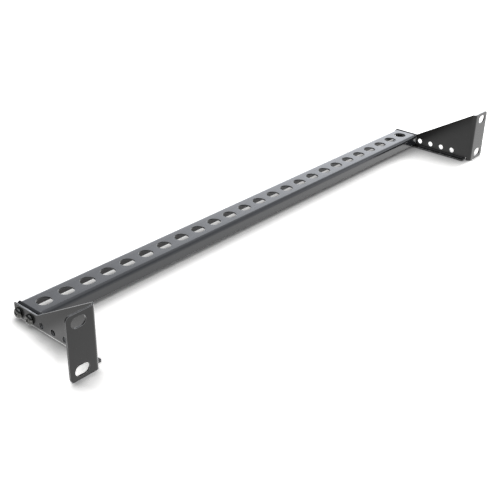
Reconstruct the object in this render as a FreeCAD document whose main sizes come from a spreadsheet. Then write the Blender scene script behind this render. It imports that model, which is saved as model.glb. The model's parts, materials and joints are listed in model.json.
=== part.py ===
import FreeCAD, Part
import math
import os
import Sketcher

# Cable management panel, one unit high, for a 19 inch rack
# Two mirror-image steel brackets carry a perforated channel bar between them.
# Each bracket and the bar is one folded sheet. Four pan head screws join them.
# Origin: the centre of the four rack slots, on the ears' rear faces.
# +X runs along the bar, +Y away from the rack's front, +Z up. Millimetres.

doc = FreeCAD.newDocument("cable_panel")
sizes = doc.addObject("Spreadsheet::Sheet", "sizes")

SIZES = [
    # Rack fit
    ("overall_width", 482.6),
    ("ear_height", 43.6),
    ("slot_spread", 465.1),
    ("slot_rise", 31.75),
    ("slot_length", 10.3),
    ("slot_height", 6.9),
    # Sheet and its bends
    ("sheet", 1.2),
    ("bend_inside", 1.8),
    ("relief_slit", 0.5),
    # Brackets
    ("arm_spread", 442.0),
    ("arm_depth", 80.5),
    ("arm_rear_length", 23.2),
    ("arm_rear_height", 11.5),
    ("ear_corner", 3.0),
    ("flange_width", 6.3),
    ("flange_start", 4.6),
    ("flange_corner", 1.5),
    ("arm_hole", 4.5),
    ("arm_hole_count", 6),
    ("arm_hole_pitch", 11.3),
    ("arm_hole_edge", 4.5),
    ("arm_hole_rise", 5.75),
    # Perforated bar
    ("bar_width", 24.0),
    ("bar_rear_gap", 0.3),
    ("tab_inset", 0.3),
    ("tie_hole", 10.5),
    ("tie_hole_count", 25),
    ("tie_hole_pitch", 17.25),
    ("collar_wall", 0.6),
    ("collar_depth", 1.6),
    # Screws
    ("screws_a_side", 2),
    ("thread", 4.0),
    ("thread_clearance", 0.05),
    ("screw_length", 6.0),
    ("screw_point", 0.5),
    ("head_width", 7.2),
    ("head_height", 2.3),
    ("head_round", 1.4),
    ("recess_span", 4.0),
    ("recess_blade", 0.9),
    ("recess_depth", 1.5),
]
for row, (alias, size) in enumerate(SIZES, start=1):
    sizes.set(f"A{row}", alias)
    sizes.set(f"B{row}", str(size))
    sizes.setAlias(f"B{row}", alias)

# Lengths that follow from the sizes above, as expressions
SHEET = "sizes.sheet"
BEND = "(sizes.sheet + sizes.bend_inside)"
BAR_LENGTH = "(sizes.arm_spread - 2 * sizes.sheet)"
BAR_HEIGHT = f"(sizes.arm_rear_height - {BEND})"
EAR_END = "(sizes.overall_width / 2 - sizes.arm_spread / 2 + sizes.flange_width)"
doc.recompute()

# Below this, in square millimetres, an arc's two ends lie in line with its centre
HALF_TURN_SLACK = 1e-6


def number(expression):
    """Value of a size expression."""
    return float(sizes.evalExpression(expression))


def plane(body, role):
    """One of the body's own origin planes or axes."""
    return next(item for item in body.Origin.OriginFeatures if item.Role == role)


def new_body(name):
    return doc.addObject("PartDesign::Body", name)


def put(item, x, y, z):
    """Tie the item's place to the sheet."""
    for axis, expression in zip("xyz", (x, y, z)):
        item.setExpression(f"Placement.Base.{axis}", expression)


def new_sketch(body, name, role, height="0"):
    """Sketch on an origin plane of the body, raised by the given height."""
    sketch = body.newObject("Sketcher::SketchObject", name)
    sketch.AttachmentSupport = [(plane(body, role), "")]
    sketch.MapMode = "FlatFace"
    sketch.setExpression("AttachmentOffset.Base.z", height)
    return sketch


def fix(sketch, kind, element, end, expression):
    """Distance of a point from the sketch's origin, along one direction."""
    place = sketch.addConstraint(
        Sketcher.Constraint(kind, -1, 1, element, end, number(expression)))
    sketch.setExpression(f"Constraints[{place}]", expression)


def outline(sketch, corners):
    """Closed outline. A corner is (x, y), or (x, y, centre x, centre y) where
    the run to the next corner is an arc about that centre. An outline with a
    half circle goes round counter-clockwise."""
    first = sketch.GeometryCount
    ends = []
    for here, after in zip(corners, corners[1:] + corners[:1]):
        start = FreeCAD.Vector(number(here[0]), number(here[1]), 0)
        stop = FreeCAD.Vector(number(after[0]), number(after[1]), 0)
        if len(here) == 2:
            sketch.addGeometry(Part.LineSegment(start, stop), False)
            ends.append((1, 2))
            continue
        centre = FreeCAD.Vector(number(here[2]), number(here[3]), 0)
        radius = (start - centre).Length
        forward = (start - centre).cross(stop - start).z > -HALF_TURN_SLACK
        low, high = (start, stop) if forward else (stop, start)
        angles = [math.atan2(p.y - centre.y, p.x - centre.x) for p in (low, high)]
        circle = Part.Circle(centre, FreeCAD.Vector(0, 0, 1), radius)
        sketch.addGeometry(Part.ArcOfCircle(circle, *angles), False)
        ends.append((1, 2) if forward else (2, 1))
    for step, corner in enumerate(corners):
        element = first + step
        following = (step + 1) % len(corners)
        sketch.addConstraint(Sketcher.Constraint(
            "Coincident", element, ends[step][1], first + following, ends[following][0]))
        fix(sketch, "DistanceX", element, ends[step][0], corner[0])
        fix(sketch, "DistanceY", element, ends[step][0], corner[1])
        if len(corner) == 4:
            fix(sketch, "DistanceX", element, 3, corner[2])


def round_hole(sketch, x, y, width):
    """Circle of the given width about (x, y)."""
    centre = FreeCAD.Vector(number(x), number(y), 0)
    circle = Part.Circle(centre, FreeCAD.Vector(0, 0, 1), number(width) / 2)
    element = sketch.addGeometry(circle, False)
    fix(sketch, "DistanceX", element, 3, x)
    fix(sketch, "DistanceY", element, 3, y)
    place = sketch.addConstraint(Sketcher.Constraint("Diameter", element, number(width)))
    sketch.setExpression(f"Constraints[{place}]", width)


def pad(body, sketch, length):
    feature = body.newObject("PartDesign::Pad", sketch.Name + "_pad")
    feature.Profile = sketch
    feature.setExpression("Length", length)
    return feature


def cut_through(body, sketch, length, reverse=False):
    """Pocket that has to take material away."""
    doc.recompute()
    before = body.Shape.Volume
    feature = body.newObject("PartDesign::Pocket", sketch.Name + "_pocket")
    feature.Profile = sketch
    feature.Reversed = reverse
    feature.setExpression("Length", length)
    doc.recompute()
    if feature.Shape.Volume >= before:
        raise RuntimeError(f"{sketch.Name} cuts nothing")
    return feature


def repeat(body, feature, role, pitch, count):
    """Row of copies of a feature along one of the body's axes."""
    row = body.newObject("PartDesign::LinearPattern", feature.Name + "_row")
    row.Originals = [feature]
    row.Direction = (plane(body, role), [""])
    row.setExpression("Length", f"{pitch} * ({count} - 1)")
    row.setExpression("Occurrences", count)
    body.Tip = row
    return row


def folded_strip(length, height):
    """Section of a sheet folded down at both ends, open below."""
    far = f"{length} - {BEND}"
    top = f"{height} - {BEND}"
    return [
        ("0", "0"),
        ("0", top, BEND, top),
        (BEND, height),
        (far, height, far, top),
        (length, top),
        (length, "0"),
        (f"{length} - {SHEET}", "0"),
        (f"{length} - {SHEET}", top, far, top),
        (far, f"{height} - {SHEET}"),
        (BEND, f"{height} - {SHEET}", BEND, top),
        (SHEET, top),
        (SHEET, "0"),
    ]


# Brackets
# One sheet each: an arm that is low beside the bar and rises to the ear, an ear
# folded outward in front with two rack slots, and a narrow flange folded
# inward below. A row of equal holes lets the bar sit at several depths.
# The bracket's own x starts at the flange's inner edge, its y at the ear's front.

def make_bracket(name):
    body = new_body(name)
    arm_inside = f"(sizes.flange_width - {SHEET})"
    ear_bend_end = f"({arm_inside} + {BEND})"
    flange_bend_end = f"(sizes.flange_width - {BEND})"
    knee = "(sizes.arm_depth - sizes.arm_rear_length)"
    slit_start = "(sizes.flange_start - sizes.relief_slit)"

    arm = new_sketch(body, "arm", "YZ_Plane", arm_inside)
    outline(arm, [
        (BEND, "0"),
        (slit_start, "0"),
        (slit_start, BEND),
        ("sizes.arm_depth", BEND),
        ("sizes.arm_depth", "sizes.arm_rear_height"),
        (knee, "sizes.arm_rear_height"),
        (BEND, "sizes.ear_height"),
    ])
    pad(body, arm, SHEET)

    ear_bend = new_sketch(body, "ear_bend", "XY_Plane")
    outline(ear_bend, [
        (arm_inside, BEND, ear_bend_end, BEND),
        (ear_bend_end, "0"),
        (ear_bend_end, SHEET, ear_bend_end, BEND),
        ("sizes.flange_width", BEND),
    ])
    pad(body, ear_bend, "sizes.ear_height")

    ear = new_sketch(body, "ear", "XZ_Plane", f"-{SHEET}")
    corner_x = f"({EAR_END} - sizes.ear_corner)"
    corner_z = "(sizes.ear_height - sizes.ear_corner)"
    outline(ear, [
        (ear_bend_end, "0"),
        (corner_x, "0", corner_x, "sizes.ear_corner"),
        (EAR_END, "sizes.ear_corner"),
        (EAR_END, corner_z, corner_x, corner_z),
        (corner_x, "sizes.ear_height"),
        (ear_bend_end, "sizes.ear_height"),
    ])
    pad(body, ear, SHEET)

    flange_bend = new_sketch(body, "flange_bend", "XZ_Plane", "-sizes.arm_depth")
    outline(flange_bend, [
        ("sizes.flange_width", BEND, flange_bend_end, BEND),
        (flange_bend_end, "0"),
        (flange_bend_end, SHEET, flange_bend_end, BEND),
        (arm_inside, BEND),
    ])
    pad(body, flange_bend, "sizes.arm_depth - sizes.flange_start")

    flange = new_sketch(body, "flange", "XY_Plane")
    front = "(sizes.flange_start + sizes.flange_corner)"
    rear = "(sizes.arm_depth - sizes.flange_corner)"
    outline(flange, [
        ("0", rear),
        ("0", front, "sizes.flange_corner", front),
        ("sizes.flange_corner", "sizes.flange_start"),
        (flange_bend_end, "sizes.flange_start"),
        (flange_bend_end, "sizes.arm_depth"),
        ("sizes.flange_corner", "sizes.arm_depth", "sizes.flange_corner", rear),
    ])
    pad(body, flange, SHEET)

    slots = new_sketch(body, "rack_slots", "XZ_Plane", f"-{SHEET}")
    slot_x = "(sizes.slot_spread / 2 - sizes.arm_spread / 2 + sizes.flange_width)"
    for above in ("-", "+"):
        slot_z = f"(sizes.ear_height / 2 {above} sizes.slot_rise / 2)"
        left = f"({slot_x} - sizes.slot_length / 2 + sizes.slot_height / 2)"
        right = f"({slot_x} + sizes.slot_length / 2 - sizes.slot_height / 2)"
        low = f"({slot_z} - sizes.slot_height / 2)"
        high = f"({slot_z} + sizes.slot_height / 2)"
        outline(slots, [
            (left, low),
            (right, low, right, slot_z),
            (right, high),
            (left, high, left, slot_z),
        ])
    cut_through(body, slots, SHEET, reverse=True)

    arm_hole = new_sketch(body, "arm_hole", "YZ_Plane", arm_inside)
    first_hole = ("(sizes.arm_depth - sizes.arm_hole_edge"
                  " - (sizes.arm_hole_count - 1) * sizes.arm_hole_pitch)")
    round_hole(arm_hole, first_hole, "sizes.arm_hole_rise", "sizes.arm_hole")
    hole = cut_through(body, arm_hole, SHEET, reverse=True)
    repeat(body, hole, "Y_Axis", "sizes.arm_hole_pitch", "sizes.arm_hole_count")

    put(body, "sizes.arm_spread / 2 - sizes.flange_width", f"-{SHEET}", "-sizes.ear_height / 2")
    return body


right_bracket = make_bracket("right_bracket")
doc.recompute()

left_bracket = doc.addObject("Part::Mirroring", "left_bracket")
left_bracket.Source = right_bracket
left_bracket.Base = FreeCAD.Vector(0, 0, 0)
left_bracket.Normal = FreeCAD.Vector(1, 0, 0)


# Perforated bar
# One sheet: a top with a row of round holes, a wall folded down along each
# side, and a full-width tab folded down at each end. Slits part the tabs from
# the walls. The tabs' screw holes are drawn inward into collars for the thread.
# The bar's own x starts at its left end, its y at its front wall. Its rear wall
# lies just inside the arms' rear ends.

BAR_FRONT = "(sizes.arm_depth - sizes.bar_rear_gap - sizes.bar_width - sizes.sheet)"


def screw_depth(screw):
    """Place of a screw behind the bar's front wall, counted from the rear."""
    return (f"(sizes.bar_width + sizes.bar_rear_gap - sizes.arm_hole_edge"
            f" - {screw} * sizes.arm_hole_pitch)")


def make_bar(name):
    body = new_body(name)
    wall_start = f"({BEND} + sizes.relief_slit)"

    channel = new_sketch(body, "channel", "YZ_Plane", wall_start)
    outline(channel, folded_strip("sizes.bar_width", BAR_HEIGHT))
    pad(body, channel, f"{BAR_LENGTH} - 2 * {wall_start}")

    top_strip = new_sketch(body, "top_strip", "XZ_Plane", f"-(sizes.bar_width - {BEND})")
    outline(top_strip, folded_strip(BAR_LENGTH, BAR_HEIGHT))
    pad(body, top_strip, f"sizes.bar_width - 2 * {BEND}")

    tabs = new_sketch(body, "end_tabs", "XZ_Plane", "-(sizes.bar_width - sizes.tab_inset)")
    shoulder = f"({BAR_HEIGHT} - {BEND})"
    for end, inward in (("0", "+"), (BAR_LENGTH, "-")):
        bend_end = f"({end} {inward} {BEND})"
        inside = f"({end} {inward} {SHEET})"
        outline(tabs, [
            (end, "0"),
            (end, shoulder, bend_end, shoulder),
            (bend_end, BAR_HEIGHT),
            (bend_end, f"{BAR_HEIGHT} - {SHEET}", bend_end, shoulder),
            (inside, shoulder),
            (inside, "0"),
        ])
    pad(body, tabs, "sizes.bar_width - 2 * sizes.tab_inset")

    tie_hole = new_sketch(body, "tie_hole", "XY_Plane", BAR_HEIGHT)
    first_hole = f"({BAR_LENGTH} - sizes.tie_hole_pitch * (sizes.tie_hole_count - 1)) / 2"
    round_hole(tie_hole, first_hole, "sizes.bar_width / 2", "sizes.tie_hole")
    hole = cut_through(body, tie_hole, SHEET)
    repeat(body, hole, "X_Axis", "sizes.tie_hole_pitch", "sizes.tie_hole_count")

    collar_width = "(sizes.thread + 2 * sizes.collar_wall)"
    screw_rise = f"(sizes.arm_hole_rise - {BEND})"
    collar_starts = {
        "left_collars": SHEET,
        "right_collars": f"({BAR_LENGTH} - {SHEET} - sizes.collar_depth)",
    }
    for collar_name, start in collar_starts.items():
        collars = new_sketch(body, collar_name, "YZ_Plane", start)
        for screw in range(int(number("sizes.screws_a_side"))):
            round_hole(collars, screw_depth(screw), screw_rise, collar_width)
        pad(body, collars, "sizes.collar_depth")

    threads = new_sketch(body, "threads", "YZ_Plane")
    for screw in range(int(number("sizes.screws_a_side"))):
        round_hole(threads, screw_depth(screw), screw_rise, "sizes.thread")
    cut_through(body, threads, BAR_LENGTH, reverse=True)

    put(body, f"-{BAR_LENGTH} / 2", BAR_FRONT, f"{BEND} - sizes.ear_height / 2")
    return body


make_bar("perforated_bar")


# Screws
# Steel pan head machine screws with a cross recess, two through each arm's
# rear holes into the bar's tab. The thread itself is left smooth here.
# A screw's own z starts at its point.

def make_screw(name):
    body = new_body(name)
    shank = "(sizes.thread / 2 - sizes.thread_clearance)"
    head = "(sizes.head_width / 2)"
    top = "(sizes.screw_length + sizes.head_height)"
    profile = new_sketch(body, name + "_profile", "XZ_Plane")
    outline(profile, [
        ("0", "0"),
        (f"{shank} - sizes.screw_point", "0"),
        (shank, "sizes.screw_point"),
        (shank, "sizes.screw_length"),
        (head, "sizes.screw_length"),
        (head, f"{top} - sizes.head_round", f"{head} - sizes.head_round", f"{top} - sizes.head_round"),
        (f"{head} - sizes.head_round", top),
        ("0", top),
    ])
    turned = body.newObject("PartDesign::Revolution", name + "_turned")
    turned.Profile = profile
    turned.ReferenceAxis = (profile, ["V_Axis"])
    turned.Angle = 360

    recess = new_sketch(body, name + "_recess", "XY_Plane", top)
    arm = "sizes.recess_span / 2"
    half = "sizes.recess_blade / 2"
    corners = [(arm, half), (half, half), (half, arm)]
    quarter_turns = [("{0}", "{1}"), ("-({1})", "{0}"), ("-({0})", "-({1})"), ("{1}", "-({0})")]
    outline(recess, [
        tuple(form.format(*corner) for form in turn)
        for turn in quarter_turns for corner in corners
    ])
    cut_through(body, recess, "sizes.recess_depth")
    return body


screws = []
for side, turn in ((-1, -90), (1, 90)):
    for number_in_side in range(int(number("sizes.screws_a_side"))):
        screw = make_screw(f"screw_{len(screws) + 1}")
        screw.Placement.Rotation = FreeCAD.Rotation(FreeCAD.Vector(0, 1, 0), turn)
        put(screw,
            f"{side} * (sizes.arm_spread / 2 - sizes.screw_length)",
            f"{BAR_FRONT} + {screw_depth(number_in_side)}",
            "sizes.arm_hole_rise - sizes.ear_height / 2")
        screws.append(screw)
screw_group = doc.addObject("Part::Compound", "pan_head_screws")
screw_group.Links = screws
doc.recompute()

NODES = ["perforated_bar", "left_bracket", "right_bracket", "pan_head_screws"]
for item in doc.Objects:
    if "Invalid" in item.State or "Error" in item.State:
        raise RuntimeError(f"{item.Name} failed: {item.State}")
os.makedirs("parts", exist_ok=True)
for name in NODES:
    node = doc.getObject(name)
    node.Label = name
    if node.Shape.isNull() or not node.Shape.isValid():
        raise RuntimeError(f"{name} has no valid shape")
    node.Shape.exportStep(f"parts/{name}.step")
    box = node.Shape.BoundBox
    print(f"{name}: {len(node.Shape.Solids)} solids, {node.Shape.Volume:.1f} mm3,"
          f" {box.XLength:.2f} x {box.YLength:.2f} x {box.ZLength:.2f} mm")
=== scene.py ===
import bpy
import json
import math
from mathutils import Matrix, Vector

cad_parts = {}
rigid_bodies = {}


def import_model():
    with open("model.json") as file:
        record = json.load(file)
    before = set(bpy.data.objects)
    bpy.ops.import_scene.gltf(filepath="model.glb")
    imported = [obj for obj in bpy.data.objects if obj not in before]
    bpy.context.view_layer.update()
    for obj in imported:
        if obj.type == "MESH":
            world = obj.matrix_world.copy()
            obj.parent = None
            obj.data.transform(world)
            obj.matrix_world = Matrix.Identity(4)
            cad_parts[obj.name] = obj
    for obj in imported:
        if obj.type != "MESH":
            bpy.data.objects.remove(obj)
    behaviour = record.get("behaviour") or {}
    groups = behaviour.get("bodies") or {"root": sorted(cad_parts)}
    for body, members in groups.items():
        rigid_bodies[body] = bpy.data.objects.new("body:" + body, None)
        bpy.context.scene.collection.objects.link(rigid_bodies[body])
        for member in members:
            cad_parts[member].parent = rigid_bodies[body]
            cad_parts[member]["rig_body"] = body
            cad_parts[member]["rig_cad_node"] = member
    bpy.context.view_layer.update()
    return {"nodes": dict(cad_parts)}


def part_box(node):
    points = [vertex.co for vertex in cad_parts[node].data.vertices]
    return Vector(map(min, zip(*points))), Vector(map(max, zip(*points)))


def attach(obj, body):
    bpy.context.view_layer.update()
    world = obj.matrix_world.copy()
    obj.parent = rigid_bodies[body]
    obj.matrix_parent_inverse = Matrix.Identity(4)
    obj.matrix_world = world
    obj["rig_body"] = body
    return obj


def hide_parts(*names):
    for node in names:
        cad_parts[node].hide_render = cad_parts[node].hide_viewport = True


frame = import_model()

# Perforated bar
# The cross piece that cables are tied to: one strip of cold rolled steel with a row of
# round holes, folded down along both sides and at both ends, then powder coated.
# The coat rounds every sheared edge and lies thinner there; the rounds are painted paler, partly
# as worn coat, partly as an edge highlight.

BAR_EDGE = 0.00015
BAR_DARK = (0.012, 0.013, 0.015, 1)
BAR_PALE = (0.018, 0.019, 0.022, 1)
# Paler edge tones: partly worn thin coat, partly a painted highlight along every edge.
EDGE_WEAR_HIGHLIGHT_DARK = (0.110, 0.111, 0.113, 1)
EDGE_WEAR_HIGHLIGHT_PALE = (0.180, 0.181, 0.184, 1)
GRAIN_SCALE = 1500.0
GRAIN_HEIGHT = 0.02
ROUGHNESS_SPREAD = 0.10
DUST_TONE = (0.30, 0.30, 0.31, 1)


def deselect_all():
    """Nothing selected, so that the next operator acts on its own piece alone."""
    if bpy.context.object and bpy.context.object.mode != "OBJECT":
        bpy.ops.object.mode_set(mode="OBJECT")
    bpy.ops.object.select_all(action="DESELECT")


def folded_sheet(node, name, round_edge, coats):
    """Copy of a folded sheet with the coat's round edges, in the sheet's own place."""
    deselect_all()
    sheet = frame["nodes"][node].copy()
    sheet.data = sheet.data.copy()
    bpy.context.scene.collection.objects.link(sheet)
    sheet.name = name
    sheet.data.name = name
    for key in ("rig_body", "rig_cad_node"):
        del sheet[key]
    sheet.parent = None
    sheet.select_set(True)
    bpy.context.view_layer.objects.active = sheet
    bpy.ops.object.mode_set(mode="EDIT")
    bpy.ops.mesh.select_all(action="SELECT")
    bpy.ops.mesh.customdata_custom_splitnormals_clear()
    bpy.ops.mesh.remove_doubles(threshold=0.000001)
    bpy.ops.mesh.beautify_fill(angle_limit=math.radians(1))
    bpy.ops.object.mode_set(mode="OBJECT")
    sheet.data.materials.clear()
    for coat in coats:
        sheet.data.materials.append(coat)
    edges = sheet.modifiers.new("coat_edges", "BEVEL")
    edges.width = round_edge
    edges.segments = 2
    edges.limit_method = "ANGLE"
    edges.angle_limit = math.radians(40)
    # The rounds take the second material: paler worn coat with a painted edge highlight.
    edges.material = 1
    edges.use_clamp_overlap = False
    bpy.ops.object.modifier_apply(modifier=edges.name)
    bpy.ops.object.shade_smooth_by_angle(angle=math.radians(35))
    flats = sheet.modifiers.new("flat_faces", "WEIGHTED_NORMAL")
    flats.keep_sharp = True
    flats.weight = 100
    bpy.ops.object.modifier_apply(modifier=flats.name)
    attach(sheet, "root")
    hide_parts(node)


def powder_coat_group():
    """Fine grain, clouded tone and dust specks of a baked powder coat."""
    group = bpy.data.node_groups.new("powder_coat", "ShaderNodeTree")
    for name, kind, value in (("Dark", "NodeSocketColor", BAR_DARK),
                              ("Pale", "NodeSocketColor", BAR_PALE),
                              ("Grain Scale", "NodeSocketFloat", GRAIN_SCALE),
                              ("Grain Height", "NodeSocketFloat", GRAIN_HEIGHT),
                              ("Dust", "NodeSocketFloat", 0.12),
                              ("Least Roughness", "NodeSocketFloat", 0.13)):
        socket = group.interface.new_socket(name=name, in_out="INPUT", socket_type=kind)
        socket.default_value = value
    for name, kind in (("Color", "NodeSocketColor"), ("Roughness", "NodeSocketFloat"),
                       ("Height", "NodeSocketFloat")):
        group.interface.new_socket(name=name, in_out="OUTPUT", socket_type=kind)
    nodes, links = group.nodes, group.links
    given = nodes.new("NodeGroupInput")
    out = nodes.new("NodeGroupOutput")
    place = nodes.new("ShaderNodeTexCoord")

    clouds = nodes.new("ShaderNodeTexNoise")
    clouds.inputs["Scale"].default_value = 28
    clouds.inputs["Detail"].default_value = 4
    links.new(place.outputs["Object"], clouds.inputs["Vector"])
    grain = nodes.new("ShaderNodeTexNoise")
    grain.inputs["Detail"].default_value = 3
    grain.inputs["Roughness"].default_value = 0.6
    links.new(place.outputs["Object"], grain.inputs["Vector"])
    links.new(given.outputs["Grain Scale"], grain.inputs["Scale"])
    specks = nodes.new("ShaderNodeTexVoronoi")
    specks.inputs["Scale"].default_value = 620
    links.new(place.outputs["Object"], specks.inputs["Vector"])

    tone = nodes.new("ShaderNodeMix")
    tone.data_type = "RGBA"
    links.new(clouds.outputs["Fac"], tone.inputs["Factor"])
    links.new(given.outputs["Dark"], tone.inputs["A"])
    links.new(given.outputs["Pale"], tone.inputs["B"])
    fleck = nodes.new("ShaderNodeMapRange")
    fleck.inputs["From Min"].default_value = 0.10
    fleck.inputs["From Max"].default_value = 0.02
    links.new(specks.outputs["Distance"], fleck.inputs["Value"])
    dusty = nodes.new("ShaderNodeMath")
    dusty.operation = "MULTIPLY"
    links.new(fleck.outputs["Result"], dusty.inputs[0])
    links.new(given.outputs["Dust"], dusty.inputs[1])
    flecked = nodes.new("ShaderNodeMix")
    flecked.data_type = "RGBA"
    flecked.inputs["B"].default_value = DUST_TONE
    links.new(dusty.outputs[0], flecked.inputs["Factor"])
    links.new(tone.outputs["Result"], flecked.inputs["A"])
    links.new(flecked.outputs["Result"], out.inputs["Color"])

    spread = nodes.new("ShaderNodeMath")
    spread.operation = "MULTIPLY_ADD"
    spread.inputs[1].default_value = ROUGHNESS_SPREAD
    links.new(clouds.outputs["Fac"], spread.inputs[0])
    links.new(given.outputs["Least Roughness"], spread.inputs[2])
    links.new(spread.outputs[0], out.inputs["Roughness"])

    height = nodes.new("ShaderNodeMath")
    height.operation = "MULTIPLY"
    links.new(grain.outputs["Fac"], height.inputs[0])
    links.new(given.outputs["Grain Height"], height.inputs[1])
    links.new(height.outputs[0], out.inputs["Height"])
    return group


powder_coat = powder_coat_group()


def coated_steel(name, dark, pale, roughness, shine, dust):
    """Powder coated sheet with its own tone, least roughness, shine and dust."""
    material = bpy.data.materials.new(name)
    material.use_nodes = True
    nodes, links = material.node_tree.nodes, material.node_tree.links
    shader = nodes["Principled BSDF"]
    coat = nodes.new("ShaderNodeGroup")
    coat.node_tree = powder_coat
    coat.inputs["Dark"].default_value = dark
    coat.inputs["Pale"].default_value = pale
    coat.inputs["Grain Scale"].default_value = GRAIN_SCALE
    coat.inputs["Grain Height"].default_value = GRAIN_HEIGHT
    coat.inputs["Dust"].default_value = dust
    coat.inputs["Least Roughness"].default_value = roughness
    bump = nodes.new("ShaderNodeBump")
    bump.inputs["Strength"].default_value = 0.5
    bump.inputs["Distance"].default_value = 0.0002
    links.new(coat.outputs["Color"], shader.inputs["Base Color"])
    links.new(coat.outputs["Roughness"], shader.inputs["Roughness"])
    links.new(coat.outputs["Height"], bump.inputs["Height"])
    links.new(bump.outputs["Normal"], shader.inputs["Normal"])
    shader.inputs["Specular IOR Level"].default_value = shine
    return material


# The second coat, for the rounded edges, is painted pale: worn coat and a painted edge highlight.
bar_coats = (coated_steel("bar_powder_coat", BAR_DARK, BAR_PALE,
                          roughness=0.13, shine=0.30, dust=0.12),
             coated_steel("bar_edge_wear_and_highlight", EDGE_WEAR_HIGHLIGHT_DARK, EDGE_WEAR_HIGHLIGHT_PALE,
                          roughness=0.13, shine=0.50, dust=0.03))
folded_sheet("perforated_bar", "perforated_bar_coated", BAR_EDGE,
             bar_coats)

# Brackets
# Two mirror-image plates that carry the bar in the rack: a low arm beside the bar that
# rises to a slotted ear in front, with a narrow flange folded inward below. Each is one
# folded sheet in the same coat, and its ear stands against the rack's post.

BRACKET_EDGE = 0.00012
BRACKET_DARK = (0.009, 0.009, 0.009, 1)
BRACKET_PALE = (0.014, 0.014, 0.014, 1)

# The second coat, for the rounded edges, is painted pale: worn coat and a painted edge highlight.
bracket_coats = (coated_steel("bracket_powder_coat", BRACKET_DARK, BRACKET_PALE,
                              roughness=0.15, shine=0.18, dust=0.14),
                 coated_steel("bracket_edge_wear_and_highlight", EDGE_WEAR_HIGHLIGHT_DARK, EDGE_WEAR_HIGHLIGHT_PALE,
                              roughness=0.15, shine=0.50, dust=0.04))
for side in ("left", "right"):
    folded_sheet(f"{side}_bracket", f"{side}_bracket_coated",
                 BRACKET_EDGE, bracket_coats)

# Pan head screws
# Four M4 machine screws of black plated steel, two through each arm's rear holes into
# the collars of the bar's end tab. Each has a domed head with a cross recess, and its
# thread is rolled, so the ridges stand a little proud of the shank.

HEAD_RADIUS = 0.0036
HEAD_HEIGHT = 0.0023
HEAD_SEAT = 0.2210
HEAD_DOME = 0.00180
HEAD_LIP = 0.00012
RECESS_BLADE = (0.0044, 0.0010, 0.0032)
RECESS_TAPER = 0.45
SHANK_TOP = 0.0002
SHANK_LENGTH = 0.0060
THREAD_RADIUS = 0.00195
THREAD_DEPTH = 0.00030
THREAD_PITCH = 0.0007
POINT_TAPER = 0.8
SCREW_RISE = -0.01605
SCREW_PLACES = (0.0635, 0.0748)
FIRST_TURN = 57
NEXT_TURN = 37


def select_where(mesh_object, test):
    """Selects the vertices that pass a test of their place."""
    bpy.ops.object.mode_set(mode="OBJECT")
    for polygon in mesh_object.data.polygons:
        polygon.select = False
    for edge in mesh_object.data.edges:
        edge.select = False
    for vertex in mesh_object.data.vertices:
        vertex.select = bool(test(vertex.co))
    bpy.ops.object.mode_set(mode="EDIT")
    bpy.context.tool_settings.mesh_select_mode = (True, False, False)


def pan_head_screw(name):
    """A screw along Z, its head's seat at z = 0 and its shank below."""
    deselect_all()
    bpy.ops.mesh.primitive_cylinder_add(vertices=48, radius=HEAD_RADIUS, depth=HEAD_HEIGHT,
                                        location=(0, 0, HEAD_HEIGHT / 2))
    screw = bpy.context.object
    screw.name = name
    bpy.ops.object.transform_apply(location=True, rotation=True, scale=True)
    bpy.ops.object.mode_set(mode="EDIT")
    bpy.ops.mesh.select_all(action="DESELECT")
    select_where(screw, lambda place: place.z > HEAD_HEIGHT * 0.9)
    bpy.ops.mesh.bevel(offset=HEAD_DOME, segments=9, profile=0.50, affect="EDGES")
    select_where(screw, lambda place: abs(place.z) < 0.00001)
    bpy.ops.mesh.bevel(offset=HEAD_LIP, segments=2, affect="EDGES")
    bpy.ops.object.mode_set(mode="OBJECT")

    for turn in (0, 90):
        bpy.ops.mesh.primitive_cube_add(size=1, location=(0, 0, HEAD_HEIGHT))
        blade = bpy.context.object
        blade.scale = RECESS_BLADE
        blade.rotation_euler.z = math.radians(turn)
        bpy.ops.object.transform_apply(location=True, rotation=True, scale=True)
        bpy.ops.object.mode_set(mode="EDIT")
        select_where(blade, lambda place: place.z < HEAD_HEIGHT)
        bpy.ops.transform.resize(value=(RECESS_TAPER, RECESS_TAPER, 1))
        bpy.ops.object.mode_set(mode="OBJECT")
        cut = screw.modifiers.new("recess", "BOOLEAN")
        cut.operation = "DIFFERENCE"
        cut.solver = "EXACT"
        cut.object = blade
        bpy.context.view_layer.objects.active = screw
        bpy.ops.object.modifier_apply(modifier=cut.name)
        bpy.data.objects.remove(blade)

    deselect_all()
    bpy.ops.mesh.primitive_circle_add(vertices=32, radius=THREAD_RADIUS - THREAD_DEPTH,
                                      location=(0, 0, SHANK_TOP))
    bpy.ops.object.transform_apply(location=True, rotation=True, scale=True)
    bpy.ops.object.mode_set(mode="EDIT")
    bpy.ops.mesh.select_all(action="SELECT")
    slopes = 2 * int(SHANK_LENGTH / THREAD_PITCH)
    step = SHANK_LENGTH / slopes
    to_crest = THREAD_RADIUS / (THREAD_RADIUS - THREAD_DEPTH)
    for slope in range(slopes):
        bpy.ops.mesh.extrude_region_move(TRANSFORM_OT_translate={"value": (0, 0, -step)})
        grow = to_crest if slope % 2 == 0 else 1 / to_crest
        if slope == slopes - 1:
            grow = POINT_TAPER
        bpy.ops.transform.resize(value=(grow, grow, 1), center_override=(0, 0, 0))
    bpy.ops.mesh.edge_face_add()
    bpy.ops.mesh.select_all(action="SELECT")
    bpy.ops.mesh.normals_make_consistent(inside=False)
    bpy.ops.object.mode_set(mode="OBJECT")
    screw.select_set(True)
    bpy.context.view_layer.objects.active = screw
    bpy.ops.object.join()
    bpy.ops.object.shade_smooth_by_angle(angle=math.radians(35))
    return screw


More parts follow.
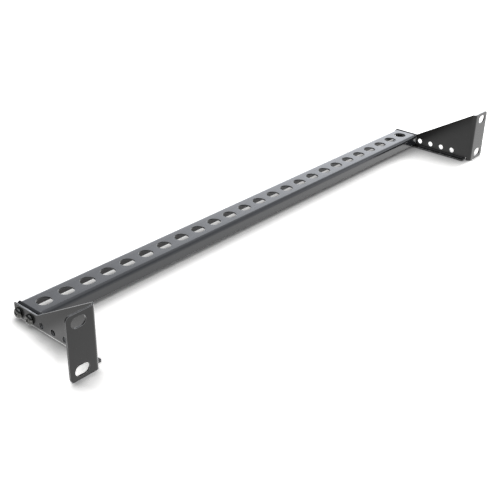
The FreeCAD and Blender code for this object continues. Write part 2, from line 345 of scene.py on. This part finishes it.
screw_steel = bpy.data.materials.new("black_plated_steel")
screw_steel.use_nodes = True
nodes, links = screw_steel.node_tree.nodes, screw_steel.node_tree.links
shader = nodes["Principled BSDF"]
shader.inputs["Metallic"].default_value = 1.0
place = nodes.new("ShaderNodeTexCoord")
plating = nodes.new("ShaderNodeTexNoise")
plating.inputs["Scale"].default_value = 900
plating.inputs["Detail"].default_value = 4
links.new(place.outputs["Object"], plating.inputs["Vector"])
tone = nodes.new("ShaderNodeValToRGB")
tone.color_ramp.elements[0].position = 0.35
tone.color_ramp.elements[0].color = (0.040, 0.040, 0.038, 1)
tone.color_ramp.elements[1].position = 0.75
tone.color_ramp.elements[1].color = (0.110, 0.110, 0.104, 1)
links.new(plating.outputs["Fac"], tone.inputs["Fac"])
links.new(tone.outputs["Color"], shader.inputs["Base Color"])
shine = nodes.new("ShaderNodeMapRange")
shine.inputs["To Min"].default_value = 0.14
shine.inputs["To Max"].default_value = 0.28
links.new(plating.outputs["Fac"], shine.inputs["Value"])
links.new(shine.outputs["Result"], shader.inputs["Roughness"])

screw_holes = [(side, behind_ear) for side in (-1, 1) for behind_ear in SCREW_PLACES]
for number, (side, behind_ear) in enumerate(screw_holes):
    screw = pan_head_screw(f"pan_head_screw_{number + 1}")
    tightened = math.radians(FIRST_TURN + NEXT_TURN * number)
    screw.data.transform(
        Matrix.Translation((side * HEAD_SEAT, behind_ear, SCREW_RISE))
        @ Matrix.Rotation(math.radians(90 * side), 4, "Y")
        @ Matrix.Rotation(tightened, 4, "Z"))
    screw.data.materials.clear()
    screw.data.materials.append(screw_steel)
    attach(screw, "root")
    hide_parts("pan_head_screws")

# Floor
# The plain white studio floor that the panel stands on. For the camera its colour holds a
# painted contact shadow, deepest along the bar, by the right flange and at the left ear's
# foot; in reflections it glows plain white, painted brighter in front of the bar than behind.

FLOOR_WHITE = (1.85, 1.845, 1.83, 1)
PAINTED_SHADOW_GREY = (0.45, 0.45, 0.45, 1)
FLOOR_BOUNCE = (0.88, 0.88, 0.88, 1)
CONTACT_REACH = 0.028
FLANGE_REACH = 0.060
FRONT_DEPTH = 3.4
FLANGE_DEPTH = 6.5
BELOW_LEFT_DEPTH = 2.5
BELOW_RIGHT_DEPTH = 4.2
EAR_DEPTH = 0.20
LEFT_FOOT_DEPTH = 5.0
FOOT_DEPTH = 0.25
# Strengths of the floor's glow in reflections: a painted reflection, stronger in front of the
# bar.
PAINTED_REFLECTION_FRONT = 2.75
PAINTED_REFLECTION_REAR = 1.55

bar_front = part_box("perforated_bar")[0][1]
left_low, left_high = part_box("left_bracket")
right_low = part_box("right_bracket")[0]

deselect_all()
bpy.ops.mesh.primitive_plane_add(size=12, location=(0, 0, left_low[2]))
floor = bpy.context.object
floor.name = "studio_floor"
paper = bpy.data.materials.new("studio_white")
paper.use_nodes = True
nodes, links = paper.node_tree.nodes, paper.node_tree.links
shader = nodes["Principled BSDF"]
shader.inputs["Roughness"].default_value = 0.8
shader.inputs["Specular IOR Level"].default_value = 0.0
seen = nodes.new("ShaderNodeLightPath")
spot = nodes.new("ShaderNodeTexCoord")
place = nodes.new("ShaderNodeSeparateXYZ")
links.new(spot.outputs["Object"], place.inputs["Vector"])
across, back = place.outputs["X"], place.outputs["Y"]


def fade(value, span, low, high):
    """Soft step of a value, from low where the span starts to high where it ends."""
    start, stop = span
    step = nodes.new("ShaderNodeMapRange")
    step.interpolation_type = "SMOOTHSTEP"
    step.inputs["From Min"].default_value = start
    step.inputs["From Max"].default_value = stop
    step.inputs["To Min"].default_value = low
    step.inputs["To Max"].default_value = high
    links.new(value, step.inputs["Value"])
    return step.outputs["Result"]


def combine(operation, first, second):
    """Result of a sum or other step of arithmetic on two node values."""
    join = nodes.new("ShaderNodeMath")
    join.operation = operation
    links.new(first, join.inputs[0])
    links.new(second, join.inputs[1])
    return join.outputs[0]


# Where the painted contact shadow changes, each place from and to, along X or along Y.
inside_left_arm = (left_high[0] + 0.010, left_high[0] + 0.025)
behind_left_ear = (0.012, 0.035)
outside_right_arm = (HEAD_SEAT, HEAD_SEAT + 0.004)
left_ear_width = (left_low[0], left_low[0] + 0.019)
left_foot_width = (left_low[0], left_low[0] + 0.030)
ear_faces = (-0.004, 0.002)
beside_right_flange = (0.15, right_low[0])
middle_of_bar = (-0.12, 0.20)
bar_wall = (bar_front - 0.005, bar_front + 0.005)
mirrored_bar_wall = (bar_front - 0.010, bar_front + 0.005)

left_ear = fade(across, inside_left_arm, 1, 0)
left_ear = combine("MULTIPLY", left_ear, fade(back, behind_left_ear, 1, 0))
right_ear = fade(across, outside_right_arm, 0, 1)
beside_ears = combine("ADD", left_ear, right_ear)
left_end = fade(across, left_ear_width, 1, 0)
in_front = fade(back, ear_faces, 1, 0)
around_ears = combine("MAXIMUM", beside_ears, combine("MAXIMUM", left_end, in_front))

along_bar = nodes.new("ShaderNodeMix")
links.new(fade(across, beside_right_flange, FRONT_DEPTH, FLANGE_DEPTH), along_bar.inputs["A"])
links.new(fade(across, middle_of_bar, BELOW_LEFT_DEPTH, BELOW_RIGHT_DEPTH), along_bar.inputs["B"])
links.new(fade(back, bar_wall, 0, 1), along_bar.inputs["Factor"])
by_ears = nodes.new("ShaderNodeMix")
by_ears.inputs["A"].default_value = EAR_DEPTH
links.new(in_front, by_ears.inputs["Factor"])
links.new(fade(across, left_foot_width, LEFT_FOOT_DEPTH, FOOT_DEPTH), by_ears.inputs["B"])
depth = nodes.new("ShaderNodeMix")
links.new(around_ears, depth.inputs["Factor"])
links.new(along_bar.outputs["Result"], depth.inputs["A"])
links.new(by_ears.outputs["Result"], depth.inputs["B"])
# Occlusion darkens the floor's colour here: a painted contact shadow, its depth set by place.
near = nodes.new("ShaderNodeAmbientOcclusion")
near.samples = 16
links.new(fade(across, beside_right_flange, CONTACT_REACH, FLANGE_REACH), near.inputs["Distance"])
contact = combine("POWER", near.outputs["AO"], depth.outputs["Result"])

# Grey to white by that occlusion: the painted contact shadow, seen by the camera only.
white = nodes.new("ShaderNodeMix")
white.data_type = "RGBA"
white.inputs["A"].default_value = PAINTED_SHADOW_GREY
white.inputs["B"].default_value = FLOOR_WHITE
links.new(contact, white.inputs["Factor"])
shown = nodes.new("ShaderNodeMix")
shown.data_type = "RGBA"
shown.inputs["A"].default_value = FLOOR_BOUNCE
links.new(seen.outputs["Is Camera Ray"], shown.inputs["Factor"])
links.new(white.outputs["Result"], shown.inputs["B"])
links.new(shown.outputs["Result"], shader.inputs["Base Color"])
# In reflections the floor glows rather than being lit: a painted reflection, stronger in front of
# the bar.
mirrored = nodes.new("ShaderNodeEmission")
links.new(fade(back, mirrored_bar_wall, PAINTED_REFLECTION_FRONT, PAINTED_REFLECTION_REAR), mirrored.inputs["Strength"])
either = nodes.new("ShaderNodeMixShader")
links.new(seen.outputs["Is Glossy Ray"], either.inputs["Fac"])
links.new(shader.outputs["BSDF"], either.inputs[1])
links.new(mirrored.outputs["Emission"], either.inputs[2])
links.new(either.outputs["Shader"], nodes["Material Output"].inputs["Surface"])
floor.data.materials.append(paper)

# Studio light
# An even dome of soft light, a little stronger in front of the panel than behind it.
# What the coat mirrors is the studio: a bright backdrop from the right round to behind
# the panel, a soft ceiling above and a dim room to the left.

CEILING = 1.60
CEILING_EDGE = (0.60, 0.88)
BACKDROP = 3.60
BACKDROP_WAY = (0.98, -0.20, 0)
BACKDROP_EDGE = (0.0, 0.28)
BACKDROP_TOP = (0.70, 0.28)
BACKDROP_FRONT = (-0.65, -0.40)
ABOVE_BACKDROP = 0.3
BESIDE_BACKDROP = 0.55
ROOM = 0.25
COOL_WHITE = (0.94, 0.97, 1.03, 1)
DOME = 0.95
DOME_FALL = -0.45

world = bpy.data.worlds.new("studio")
bpy.context.scene.world = world
world.use_nodes = True
nodes, links = world.node_tree.nodes, world.node_tree.links
background = nodes["Background"]
way = nodes.new("ShaderNodeTexCoord")
parts_of_way = nodes.new("ShaderNodeSeparateXYZ")
links.new(way.outputs["Generated"], parts_of_way.inputs["Vector"])
behind = nodes.new("ShaderNodeVectorMath")
behind.operation = "DOT_PRODUCT"
behind.inputs[1].default_value = BACKDROP_WAY
links.new(way.outputs["Generated"], behind.inputs[0])

ceiling = fade(parts_of_way.outputs["Z"], CEILING_EDGE, ROOM, CEILING)
backdrop = fade(behind.outputs["Value"], BACKDROP_EDGE, 0, BACKDROP)
below = fade(parts_of_way.outputs["Z"], BACKDROP_TOP, ABOVE_BACKDROP, 1)
beside = fade(parts_of_way.outputs["Y"], BACKDROP_FRONT, BESIDE_BACKDROP, 1)
backdrop = combine("MULTIPLY", backdrop, combine("MULTIPLY", below, beside))
room = combine("ADD", ceiling, backdrop)
seen = nodes.new("ShaderNodeLightPath")
cool = nodes.new("ShaderNodeMix")
cool.data_type = "RGBA"
cool.inputs["A"].default_value = (1, 1, 1, 1)
cool.inputs["B"].default_value = COOL_WHITE
links.new(seen.outputs["Is Glossy Ray"], cool.inputs["Factor"])
links.new(cool.outputs["Result"], background.inputs["Color"])
lit = nodes.new("ShaderNodeMath")
lit.operation = "MULTIPLY_ADD"
lit.inputs[1].default_value = DOME_FALL
lit.inputs[2].default_value = DOME
links.new(behind.outputs["Value"], lit.inputs[0])
reflected = nodes.new("ShaderNodeMix")
links.new(seen.outputs["Is Glossy Ray"], reflected.inputs["Factor"])
links.new(lit.outputs[0], reflected.inputs["A"])
links.new(room, reflected.inputs["B"])
shown = nodes.new("ShaderNodeMix")
shown.inputs["B"].default_value = 1.0
links.new(seen.outputs["Is Camera Ray"], shown.inputs["Factor"])
links.new(reflected.outputs["Result"], shown.inputs["A"])
links.new(shown.outputs["Result"], background.inputs["Strength"])

# Camera
# It stands to the left in front of the panel and looks down along the bar. Its place and
# its long lens were fitted to where the photo shows the holes, slots and edges.

camera_data = bpy.data.cameras.new("camera")
camera = bpy.data.objects.new("camera", camera_data)
bpy.context.scene.collection.objects.link(camera)
camera_data.sensor_width = 36
camera_data.lens = 61.37
camera.location = (-0.47088, -0.32540, 0.26990)
camera.rotation_euler = [math.radians(angle) for angle in (62.1018, -1.1828, -48.9921)]
camera_data.clip_start = 0.01
camera_data.clip_end = 50
bpy.context.scene.camera = camera
bpy.context.scene.view_settings.view_transform = "Standard"
